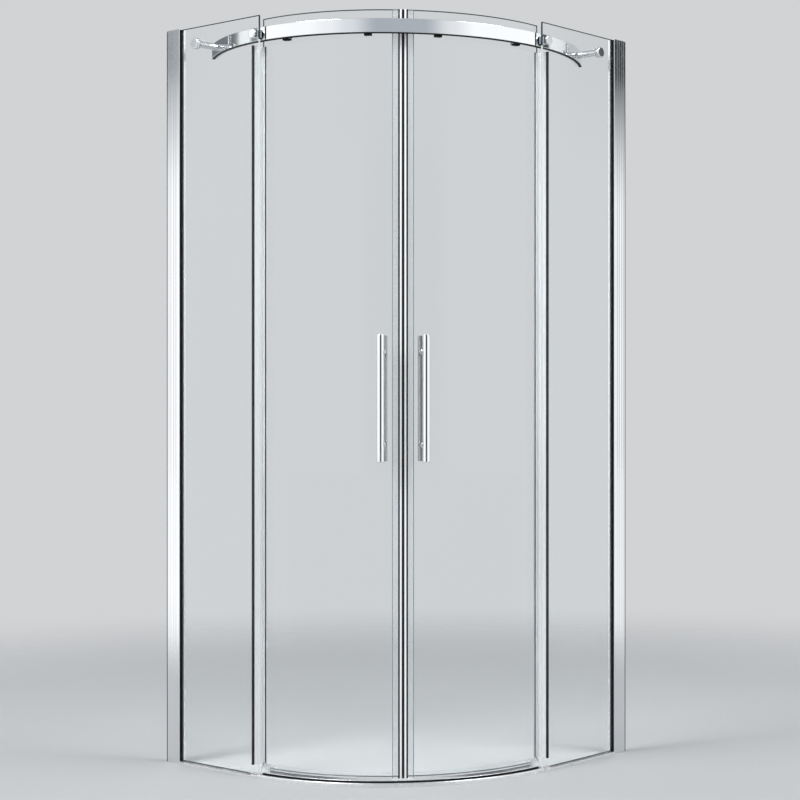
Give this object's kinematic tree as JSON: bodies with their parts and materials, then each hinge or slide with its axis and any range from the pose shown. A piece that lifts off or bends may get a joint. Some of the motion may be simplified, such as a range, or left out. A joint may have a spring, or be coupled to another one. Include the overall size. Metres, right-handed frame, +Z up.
{
  "type": "corner shower enclosure",
  "caption": "Quarter-round corner shower enclosure with clear fixed glass, curved sliding glass doors on a top roller rail, bar handles and magnetic seals",
  "frame": {"origin": "middle of the square footprint, at floor level", "axes": "+Z up; walls at -X and +Y; the rounded front faces +X and -Y"},
  "size_m": [0.9, 0.9, 2],
  "materials": {
    "bright_chrome": "polished",
    "mill_aluminium": "mill",
    "clear_glass": "clear, ground edges",
    "clear_vinyl": "clear",
    "magnet_grey": "matte",
    "pale_nylon": "satin",
    "black_rubber": "matte",
    "plain_steel": "turned"
  },
  "bodies": {
    "enclosure_frame": {"left_wall_channel": "mill_aluminium", "left_glass_profile": "bright_chrome", "left_profile_cap": "bright_chrome", "left_glass_gasket": "black_rubber", "left_fixed_glass": "clear_glass", "left_base_seal": "clear_vinyl", "left_rail_end_cap": "bright_chrome", "left_bottom_guide": "pale_nylon", "right_wall_channel": "mill_aluminium", "right_glass_profile": "bright_chrome", "right_profile_cap": "bright_chrome", "right_glass_gasket": "black_rubber", "right_fixed_glass": "clear_glass", "right_base_seal": "clear_vinyl", "right_rail_end_cap": "bright_chrome", "right_bottom_guide": "pale_nylon", "top_rail": "bright_chrome", "rail_stops": "black_rubber", "standoff_rods": "bright_chrome", "standoff_caps": "bright_chrome", "edge_spacers": "bright_chrome", "edge_caps": "bright_chrome", "bottom_sill": "bright_chrome"},
    "left_door": {"left_door_glass": "clear_glass", "left_meeting_seal": "clear_vinyl", "left_magnet_strip": "magnet_grey", "left_edge_seal": "clear_vinyl", "left_edge_lip": "black_rubber", "left_drip_seal": "clear_vinyl", "left_outer_handle": "bright_chrome", "left_inner_handle": "bright_chrome", "left_handle_posts": "bright_chrome", "left_roller_hangers": "plain_steel", "left_roller_nuts": "bright_chrome"},
    "left_inner_roller": {"left_inner_roller_wheel": "pale_nylon"},
    "left_outer_roller": {"left_outer_roller_wheel": "pale_nylon"},
    "right_door": {"right_door_glass": "clear_glass", "right_meeting_seal": "clear_vinyl", "right_magnet_strip": "magnet_grey", "right_edge_seal": "clear_vinyl", "right_edge_lip": "black_rubber", "right_drip_seal": "clear_vinyl", "right_outer_handle": "bright_chrome", "right_inner_handle": "bright_chrome", "right_handle_posts": "bright_chrome", "right_roller_hangers": "plain_steel", "right_roller_nuts": "bright_chrome"},
    "right_inner_roller": {"right_inner_roller_wheel": "pale_nylon"},
    "right_outer_roller": {"right_outer_roller_wheel": "pale_nylon"}
  },
  "joints": [
    {"name": "left_door_slide", "type": "hinge", "parent": "enclosure_frame", "child": "left_door", "pos_m": [-0.1, 0.1, 1], "axis": [0, 0, -1], "range_deg": [0, 33.9]},
    {"name": "left_inner_roller_spin", "type": "hinge", "parent": "left_door", "child": "left_inner_roller", "pos_m": [0.19356, -0.32314, 1.95], "axis": [0.57, -0.8216, 0], "continuous": true},
    {"name": "left_outer_roller_spin", "type": "hinge", "parent": "left_door", "child": "left_outer_roller", "pos_m": [-0.02181, -0.40903, 1.95], "axis": [0.1518, -0.9884, 0], "continuous": true},
    {"name": "right_door_slide", "type": "hinge", "parent": "enclosure_frame", "child": "right_door", "pos_m": [-0.1, 0.1, 1], "axis": [0, 0, 1], "range_deg": [0, 33.9]},
    {"name": "right_inner_roller_spin", "type": "hinge", "parent": "right_door", "child": "right_inner_roller", "pos_m": [0.32314, -0.19356, 1.95], "axis": [0.8216, -0.57, 0], "continuous": true},
    {"name": "right_outer_roller_spin", "type": "hinge", "parent": "right_door", "child": "right_outer_roller", "pos_m": [0.40903, 0.02181, 1.95], "axis": [0.9884, -0.1518, 0], "continuous": true}
  ],
  "couplings": [
    {"joint": "left_inner_roller_spin", "follows": "left_door_slide", "ratio": 44.017},
    {"joint": "left_outer_roller_spin", "follows": "left_door_slide", "ratio": 44.017},
    {"joint": "right_inner_roller_spin", "follows": "right_door_slide", "ratio": -44.017},
    {"joint": "right_outer_roller_spin", "follows": "right_door_slide", "ratio": -44.017}
  ]
}
